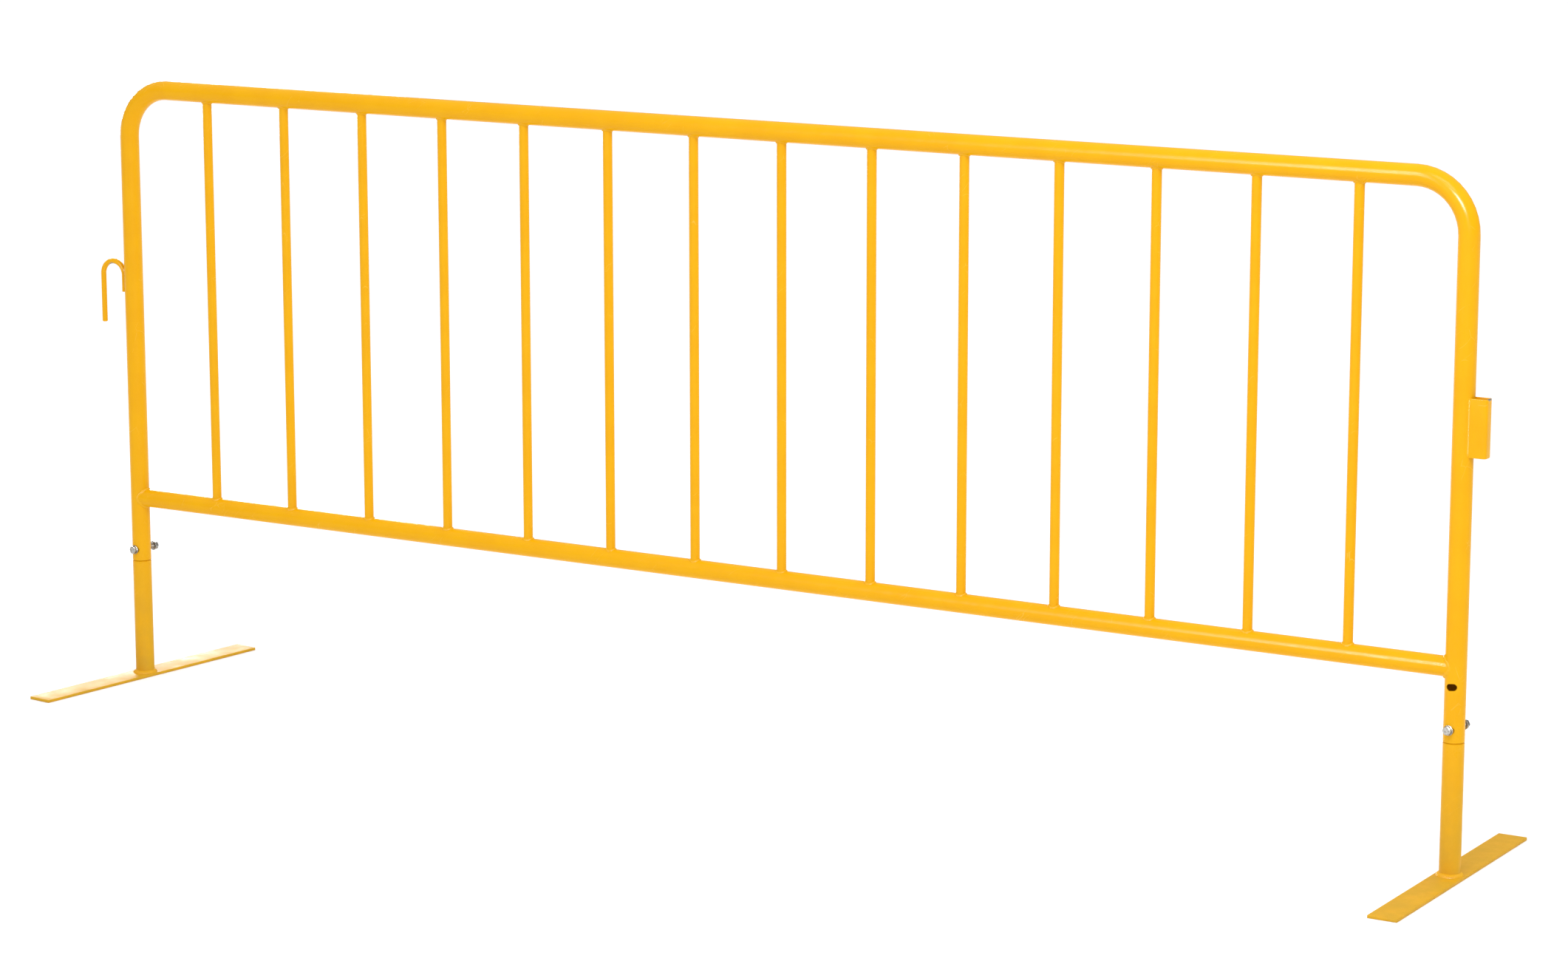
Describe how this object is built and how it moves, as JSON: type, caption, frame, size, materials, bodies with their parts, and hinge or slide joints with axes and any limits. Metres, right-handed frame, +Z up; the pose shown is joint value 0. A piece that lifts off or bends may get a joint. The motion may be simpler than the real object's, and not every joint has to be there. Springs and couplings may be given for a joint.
{
  "type": "crowd control barrier",
  "caption": "Free-standing steel crowd barrier: bent tube frame with upright infill bars, a coupling hook and socket at its ends, and flat cross feet bolted into the uprights.",
  "frame": {"origin": "on the ground, at the middle of the plan view", "axes": "+X along the panel from the hook's end to the receiver's end, +Y to the back, +Z up"},
  "size_m": [2.673, 0.5218, 1.092],
  "materials": {
    "yellow_paint": "glossy safety-yellow powder coat",
    "zinc": "zinc plated"
  },
  "bodies": {
    "panel": {"bottom_rail": "yellow_paint", "frame_hoop": "yellow_paint", "hook": "yellow_paint", "hook_weld": "yellow_paint", "infill_bar_01": "yellow_paint", "infill_bar_02": "yellow_paint", "infill_bar_03": "yellow_paint", "infill_bar_04": "yellow_paint", "infill_bar_05": "yellow_paint", "infill_bar_06": "yellow_paint", "infill_bar_07": "yellow_paint", "infill_bar_08": "yellow_paint", "infill_bar_09": "yellow_paint", "infill_bar_10": "yellow_paint", "infill_bar_11": "yellow_paint", "infill_bar_12": "yellow_paint", "infill_bar_13": "yellow_paint", "infill_bar_14": "yellow_paint", "infill_welds_bottom": "yellow_paint", "infill_welds_top": "yellow_paint", "rail_welds": "yellow_paint", "receiver": "yellow_paint", "receiver_welds": "yellow_paint"},
    "left_foot": {"left_foot_bolt": "zinc", "left_foot_nut": "zinc", "left_foot_plate": "yellow_paint", "left_foot_post": "yellow_paint", "left_foot_washers": "zinc", "left_foot_weld": "yellow_paint"},
    "right_foot": {"right_foot_bolt": "zinc", "right_foot_nut": "zinc", "right_foot_plate": "yellow_paint", "right_foot_post": "yellow_paint", "right_foot_washers": "zinc", "right_foot_weld": "yellow_paint"}
  },
  "joints": [
    {"name": "left_foot_swivel", "type": "hinge", "parent": "panel", "child": "left_foot", "pos_m": [-1.2621, 0, 0], "axis": [0, 0, 1], "range_deg": [-2.2, 15.8]},
    {"name": "right_foot_swivel", "type": "hinge", "parent": "panel", "child": "right_foot", "pos_m": [1.2955, 0, 0], "axis": [0, 0, 1], "range_deg": [-1, 17]}
  ]
}
